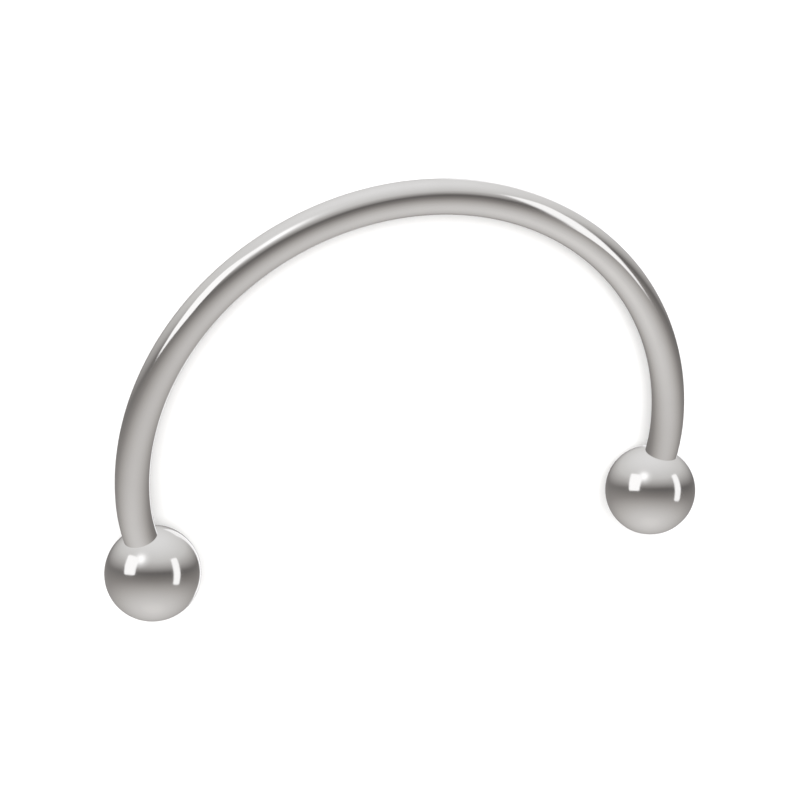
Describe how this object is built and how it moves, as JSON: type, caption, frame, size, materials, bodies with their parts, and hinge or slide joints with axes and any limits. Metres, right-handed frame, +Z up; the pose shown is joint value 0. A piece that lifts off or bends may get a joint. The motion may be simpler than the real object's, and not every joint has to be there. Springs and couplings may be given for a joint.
{
  "type": "curved barbell",
  "caption": "Curved barbell for a body piercing: a bent steel wire, open at the back, with a screw-on ball on each end.",
  "frame": {"origin": "on the surface that the barbell lies on, below the middle of the whole part", "axes": "+X from the left ball to the right ball, +Y from the balls towards the middle of the bar, +Z up. It lies on its side on three points: both balls and the middle of the bar, so the plane of the bar slopes down by 4.84 degrees towards +Y"},
  "size_m": [0.0224, 0.0152, 0.0034],
  "materials": {
    "bar_steel": "polished surgical steel wire, drawn and buffed",
    "ball_steel": "polished surgical steel ball, turned and tumbled"
  },
  "bodies": {
    "bar": {"bar": "bar_steel"},
    "left_ball": {"left_ball": "ball_steel"},
    "right_ball": {"right_ball": "ball_steel"}
  },
  "joints": [
    {"name": "left_ball_unscrew", "type": "slide", "parent": "bar", "child": "left_ball", "axis": [0.2045, -0.9754, 0.0826], "range_m": [0, 0.0024]},
    {"name": "right_ball_unscrew", "type": "slide", "parent": "bar", "child": "right_ball", "axis": [-0.2045, -0.9754, 0.0826], "range_m": [0, 0.0024]}
  ]
}
